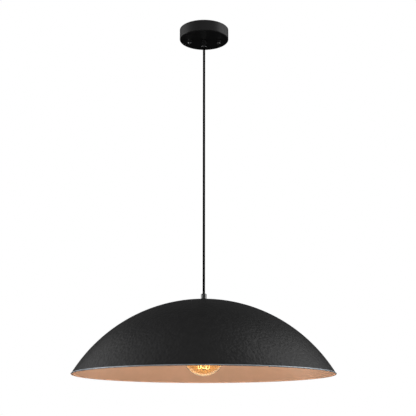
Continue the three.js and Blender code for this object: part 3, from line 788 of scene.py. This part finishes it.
def make_holder():
    """The two-part phenolic lampholder, ribbed on its skirt and threaded for a shade ring."""
    top = high("socket_cap").z
    split = low("socket_cap").z
    foot = low("socket_body").z
    wall = 2
    radius = 20.5
    cap_height = (top - split) / MM
    outline = [(5.2, 0), (10, 0), (11.2, -0.5), (17.2, -3.4), (18.9, -4.6), (20, -6.4)]
    outline += [(radius, -8.4)]
    outline += [(radius, along(-8.4, -cap_height + 0.5, k / 14)) for k in range(1, 15)]
    outline += [(radius - 0.3, -cap_height), (radius - wall, -cap_height), (radius - wall, -10)]
    outline += [(radius - wall - 3.5, -6), (9, -3.2), (5.2, -3.2)]
    ribs = knurl(30, 0.45 * MM, split + 0.9 * MM, split + 8.6 * MM, 0.8 * MM, 20.2 * MM)
    cap = turned("lampholder_cap", at(top, *outline), BAKELITE, 240, ribs)
    stands_for(cap, "shade_set", "bakelite", "socket_cap")

    rim = high("socket_body").z
    height = (rim - foot) / MM
    outline = [(15.5, 0.2), (15.8, 0), (19.2, 0), (19.6, 0.3), (20.4, 1.2)]
    outline += [(radius, along(1.4, height - 0.4, k / 96)) for k in range(97)]
    outline += [(radius - 0.3, height), (radius - 2.1, height), (radius - 2.1, 2), (15.5, 2)]
    ring_form = helix(0.75 * MM, 3 * MM, foot + 2 * MM, foot + 22 * MM, 20.2 * MM)
    body = turned("lampholder_skirt", at(foot, *outline), BAKELITE, 160, ring_form)
    stands_for(body, "shade_set", "bakelite", "socket_body")

    bottom = low("socket_screw_shell").z
    height = (high("socket_screw_shell").z - bottom) / MM
    inner = 13.45
    outline = [(inner, 0), (13.9, 0)]
    outline += [(13.95, along(0.3, height - 0.3, k / 80)) for k in range(81)]
    outline += [(13.6, height), (9, height), (9, height - 0.6), (inner - 0.3, height - 0.6)]
    outline += [(inner, along(height - 0.9, 0.3, k / 80)) for k in range(81)]
    shell_form = helix(0.35 * MM, SCREW_PITCH, bottom, bottom + height * MM, 13.3 * MM)
    shell = turned("screw_shell", at(bottom, *outline), BRASS, 96, shell_form)
    stands_for(shell, "shade_set", "brass", "socket_screw_shell")


def dressed(material, *nodes, bevel=0.25 * MM, rounds=0):
    """CAD nodes keep their shape, and get a material and soft edges, or round sides on a wire."""
    for node in nodes:
        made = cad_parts[node]
        made.data.materials.clear()
        made.data.materials.append(material)
        made.data.shade_smooth()
        weld = made.modifiers.new("weld", "WELD")
        weld.merge_threshold = 0.01 * MM
        if rounds:
            made.modifiers.new("round", "SUBSURF").render_levels = rounds
            continue
        edge = made.modifiers.new("edge", "BEVEL")
        edge.width = bevel
        edge.segments = 3
        edge.limit_method = "ANGLE"
        edge.angle_limit = math.radians(35)
        edge.harden_normals = True
        made.modifiers.new("flat", "WEIGHTED_NORMAL").weight = 100


def dress_hardware():
    """The plain fittings, whose CAD shape is already right."""
    dressed(ZINC, "crossbar", bevel=0.3 * MM)
    dressed(ZINC, "stud_locknut_left", "stud_locknut_right", bevel=0.25 * MM)
    dressed(ZINC, "canopy_locknut", "clamp_nut", "cap_locknut", bevel=0.4 * MM)
    dressed(ZINC, "canopy_washer", "clamp_washer", bevel=0.2 * MM)
    dressed(BRASS, "earth_eyelet", "earth_tag", bevel=0.15 * MM)
    dressed(BRASS, "terminal_screw_live", "terminal_screw_neutral", bevel=0.15 * MM)
    dressed(BRASS, "socket_contact", bevel=0.2 * MM)
    dressed(GREEN_SCREW, "earth_screw", bevel=0.2 * MM)
    dressed(NYLON, "upper_grip_screw", "lower_grip_screw", bevel=0.12 * MM)
    dressed(PORCELAIN, "socket_insulator", bevel=0.4 * MM)
    dressed(BROWN_LEAD, "canopy_lead_live", "socket_lead_live", rounds=2)
    dressed(BLUE_LEAD, "canopy_lead_neutral", "socket_lead_neutral", rounds=2)
    dressed(GREEN_LEAD, "canopy_lead_earth", "socket_lead_earth", rounds=2)
    dressed(WIRE, "bulb_lead_in_start", "bulb_lead_in_end", rounds=2)
    dressed(WIRE, "filament_support_upper", "filament_support_lower", bevel=0.1 * MM)


make_canopy()
make_cap_nuts()
make_grips()
make_studs()
make_connectors()
make_holder()
dress_hardware()


# ---- Globe bulb ----

# the bulb's heights and radii are in millimetres, from its tip down
GLOBE = 47.5
GLOBE_Z = -87.5
NECK = 11.4
NECK_JOIN = 50  # degrees above the globe's widest line, where the neck's curve begins
GLASS_WALL = 0.9

STRANDS = 6
CAGE_RADIUS = 12.6
CAGE_TOP = -58
CAGE_FOOT = -118
CAGE_TURN = 5.5  # degrees that the cage is turned about the bulb's axis
FILAMENT_RADIUS = 0.3 * MM


def bezier(a, b, c, d, steps):
    """Points of a cubic curve from a to d."""
    points = []
    for k in range(steps + 1):
        t = k / steps
        u = 1 - t
        weights = (u**3, 3 * u * u * t, 3 * u * t * t, t**3)
        points.append(tuple(sum(w * p[i] for w, p in zip(weights, (a, b, c, d))) for i in (0, 1)))
    return points


def globe_outline(inset):
    """The glass in section in millimetres, from the neck's top to the lowest point."""
    neck = NECK - inset
    globe = arc(0, GLOBE_Z, GLOBE - inset, NECK_JOIN, -90, 48)
    join_r, join_z = globe[0]
    slope = math.radians(NECK_JOIN)
    pull = (join_r - 14 * math.sin(slope), join_z + 14 * math.cos(slope))
    shoulder = bezier((neck, -25), (neck, -38), pull, (join_r, join_z), 20)
    return [(neck, -17), *shoulder, *globe[1:-1], (0, GLOBE_Z - GLOBE + inset)]


def smooth_outline(points):
    """The outline as a soft curve through its points."""
    route = smooth_route([(r, 0, z) for r, z in points], 3)
    return [(max(0, p.x), p.z) for p in route]


def on_cage(share, z):
    """A point of the filament's round cage, at a share of a turn."""
    angle = 2 * math.pi * share + math.radians(CAGE_TURN)
    radius = CAGE_RADIUS * MM
    return Vector((radius * math.cos(angle), radius * math.sin(angle), TIP + z * MM))


def make_bulb():
    """The amber glass, and the filament that runs up and down its cage."""
    outline = globe_outline(0) + globe_outline(GLASS_WALL)[::-1]
    envelope = turned("globe_glass", at(TIP, *outline), AMBER_GLASS, 128)
    envelope.visible_shadow = False
    stands_for(envelope, "bulb", "amber_glass", "bulb_glass")

    points = []
    for strand in range(STRANDS):
        rising = strand % 2 == 1
        heights = [CAGE_TOP - 3, (CAGE_TOP + CAGE_FOOT) / 2, CAGE_FOOT + 3]
        if rising:
            heights.reverse()
        points += [on_cage(strand / STRANDS, z) for z in heights]
        if strand < STRANDS - 1:
            points.append(on_cage((strand + 0.5) / STRANDS, CAGE_TOP if rising else CAGE_FOOT))
    wire = tube("filament_wire", smooth_route(points, 6), FILAMENT_RADIUS, FILAMENT, 8)
    wire.visible_diffuse = False
    wire.visible_shadow = False
    stands_for(wire, "bulb", "filament", "bulb_filament")


def make_bulb_base():
    """The stem, the screw cap with its rolled thread, the black glass and the solder contact."""
    stem = [(0, -19.5), (9.6, -19.5), (10, -19.8), (10, -20.4), (7.4, -22), (5.2, -24.5)]
    stem += [(4.2, -28), (3.6, -34), (3.35, -39), (3.2, -42.6), (2.6, -44.4), (1.8, -45.6)]
    stem += [(1.5, -47), (1.5, -82), (1.5, -117.6), (2.0, -118.3), (2.6, -119.0), (2.6, -121.0)]
    stem += [(2.1, -121.9), (1.2, -122.4), (0, -122.4)]
    stem_points = at(TIP, *smooth_outline(stem))
    glass_stem = turned("glass_stem", stem_points, CLEAR_GLASS, 40)
    glass_stem.visible_shadow = False
    stands_for(glass_stem, "bulb", "clear_glass", "bulb_stem")

    top = -4
    bottom = -26
    outline = [(8.6, top - 0.6), (8.9, top), (10.4, top - 0.7), (11.6, top - 1.7), (12.5, top - 3)]
    outline += [(13.05, along(top - 3.4, bottom + 3.2, k / 70)) for k in range(71)]
    outline += [(12.6, bottom + 2.7), (13.05, bottom + 2.2), (13.05, bottom)]
    outline += [(11.8, bottom), (11.8, -7.4), (10.6, -6)]
    low_end = TIP + (bottom + 3) * MM
    high_end = TIP + (top - 3) * MM
    thread_form = helix(0.8 * MM, SCREW_PITCH, low_end, high_end, 13 * MM)
    cap = turned("screw_cap", at(TIP, *outline), BRASS, 96, thread_form)
    stands_for(cap, "bulb", "brass", "bulb_screw_cap")

    outline = [(0, -3.9), (8.3, -3.9), (7.9, -3.3), (6.6, -2.4), (5.2, -1.7)]
    outline += [(4.9, -1.6), (0, -1.6)]
    insulator = turned("black_glass", at(TIP, *outline), BLACK_GLASS, 64)
    stands_for(insulator, "bulb", "bakelite", "bulb_insulator")

    outline = [(0, -1.3), (4.2, -1.3), (4.15, -1.0), (3.7, -0.6), (2.9, -0.3)]
    outline += [(1.9, -0.1), (1, -0.02), (0, 0)]
    contact = turned("solder_contact", at(TIP, *outline), SOLDER, 48)
    stands_for(contact, "bulb_tip", "solder", "bulb_contact")


make_bulb()
make_bulb_base()


# ---- Light, backdrop and floor ----

# what the lights face
AT_CANOPY = (0, 0, -0.05)
AT_GRIP = (0, 0, -0.66)
AT_SHADE = (0, 0, -0.75)
AT_RIM = (0, 0, -0.8)
AT_BULB = (0, 0, -0.86)
AT_CROSSBAR = (0, 0, -0.02)

# name: where it stands, what it faces, its width and height in metres, and its brightness
SOFTBOXES = {
    "left_box": ((-2.3, 0.75, 0.25), AT_SHADE, 2.6, 1.9, 0.62),
    "right_box": ((2.4, 0.5, 0.25), AT_SHADE, 2.8, 1.9, 0.68),
    "left_high": ((-1.9, -0.1, 1.6), AT_SHADE, 1.5, 1.3, 0.4),
    "right_high": ((1.9, -0.1, 1.5), AT_SHADE, 1.5, 1.5, 1.0),
    "front_fill": ((0.4, -2.0, 0.95), AT_CANOPY, 1.6, 0.8, 0.15),
    "edge_light": ((1.5, 1.25, 0.85), AT_CROSSBAR, 0.2, 0.5, 0.8),
    "rim_light": ((0, -2.2, -1.25), AT_RIM, 5.0, 0.5, 0.6),
    "left_strip": ((-2.3, -0.1, -0.35), AT_GRIP, 0.8, 0.6, 5.0),
    "right_strip": ((2.3, -0.1, -0.35), AT_GRIP, 0.8, 0.6, 5.0),
    "low_strip": ((-0.1, 0.75, -1.5), AT_BULB, 1.4, 0.3, 0.8),
    "low_fill": ((0, 0.7, -1.06), AT_BULB, 1.4, 0.24, 0.12),
}

BULB_POWER = 5.8  # watts
BULB_COLOUR = (1.0, 0.85, 0.7)
BULB_SOFTNESS = 0.03


def softbox(name, spot, aim, width, height, radiance):
    """A rectangular light of the given brightness, which the camera doesn't see."""
    data = bpy.data.lights.new(name, "AREA")
    data.shape = "RECTANGLE"
    data.size = width
    data.size_y = height
    data.energy = radiance * math.pi * width * height
    lamp = bpy.data.objects.new(name, data)
    lamp.location = spot
    lamp.rotation_euler = (Vector(aim) - Vector(spot)).to_track_quat("-Z", "Y").to_euler()
    lamp.visible_camera = False
    bpy.context.collection.objects.link(lamp)


def make_lights():
    """The studio's soft lights, and the light that the bulb gives."""
    for name, settings in SOFTBOXES.items():
        softbox(name, *settings)
    data = bpy.data.lights.new("bulb_glow", "POINT")
    data.energy = BULB_POWER
    data.color = BULB_COLOUR
    data.shadow_soft_size = BULB_SOFTNESS
    glow = bpy.data.objects.new("bulb_glow", data)
    glow.location = (0, 0, TIP + GLOBE_Z * MM)
    glow.visible_camera = False
    glow.visible_glossy = False
    glow.visible_transmission = False
    bpy.context.collection.objects.link(glow)
    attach(glow, "bulb")


def ramp(nodes, links, value, low_in, high_in, low_out, high_out):
    """A soft step of a number, for the world's light."""
    made = nodes.new("ShaderNodeMapRange")
    made.interpolation_type = "SMOOTHSTEP"
    made.inputs["From Min"].default_value = low_in
    made.inputs["From Max"].default_value = high_in
    made.inputs["To Min"].default_value = low_out
    made.inputs["To Max"].default_value = high_out
    links.new(value, made.inputs["Value"])
    return made.outputs["Result"]


ROOM_LEVEL = 0.26
ROOM_BELOW = 0.02
ROOM_BEHIND = 0.3  # the share of the room's light that is left behind the object
ROOM_LEAN = -0.6  # how steeply the dark below rises towards the back
HEIGHT_FADE = (-0.35, -0.05)
DEPTH_FADE = (-0.2, 0.6)


def make_world():
    """White behind the object, and a dim room for its light: darkest below and straight behind."""
    world = bpy.data.worlds.new("studio")
    world.use_nodes = True
    nodes = world.node_tree.nodes
    links = world.node_tree.links
    seen = nodes["Background"]
    seen.inputs["Strength"].default_value = 1.0
    seen.inputs["Color"].default_value = rgb(1, 1, 1)
    room = nodes.new("ShaderNodeBackground")
    room.inputs["Color"].default_value = rgb(1, 1, 1)
    direction = nodes.new("ShaderNodeSeparateXYZ")
    links.new(nodes.new("ShaderNodeTexCoord").outputs["Generated"], direction.inputs["Vector"])
    lean = nodes.new("ShaderNodeMath")
    lean.operation = "MULTIPLY_ADD"
    links.new(direction.outputs["Y"], lean.inputs[0])
    lean.inputs[1].default_value = ROOM_LEAN
    links.new(direction.outputs["Z"], lean.inputs[2])
    height = ramp(nodes, links, lean.outputs[0], *HEIGHT_FADE, ROOM_BELOW, ROOM_LEVEL)
    depth = ramp(nodes, links, direction.outputs["Y"], *DEPTH_FADE, 1, ROOM_BEHIND)
    level = nodes.new("ShaderNodeMath")
    level.operation = "MULTIPLY"
    links.new(height, level.inputs[0])
    links.new(depth, level.inputs[1])
    links.new(level.outputs[0], room.inputs["Strength"])
    ray = nodes.new("ShaderNodeLightPath")
    choose = nodes.new("ShaderNodeMixShader")
    links.new(ray.outputs["Is Camera Ray"], choose.inputs["Fac"])
    links.new(room.outputs["Background"], choose.inputs[1])
    links.new(seen.outputs["Background"], choose.inputs[2])
    links.new(choose.outputs["Shader"], nodes["World Output"].inputs["Surface"])
    bpy.context.scene.world = world


FLOOR_Z = -3.7
FLOOR_REACH = 200  # metres to each side, so that no edge shows
FLOOR_GLOW = 0.78


def make_floor():
    """A plain pale floor far below, which gives the object neither light nor reflections."""
    build = bmesh.new()
    corners = [(FLOOR_REACH * x, FLOOR_REACH * y) for x, y in ((-1, -1), (1, -1), (1, 1), (-1, 1))]
    build.faces.new([build.verts.new((x, y, FLOOR_Z)) for x, y in corners])
    pale = Shader("pale_floor").set(Roughness=0.8, Emission_Strength=FLOOR_GLOW)
    pale.surface.inputs["Emission Color"].default_value = rgb(1, 1, 1)
    pale.material.cycles.emission_sampling = "NONE"
    pale.colour(pale.mix(pale.noise(3, 3), rgb(0.86, 0.86, 0.85), rgb(0.89, 0.89, 0.88)))
    floor = finished(build, "floor", pale.material)
    floor.visible_diffuse = False
    floor.visible_glossy = False


make_lights()
make_world()
make_floor()
bpy.context.scene.view_settings.view_transform = "Standard"
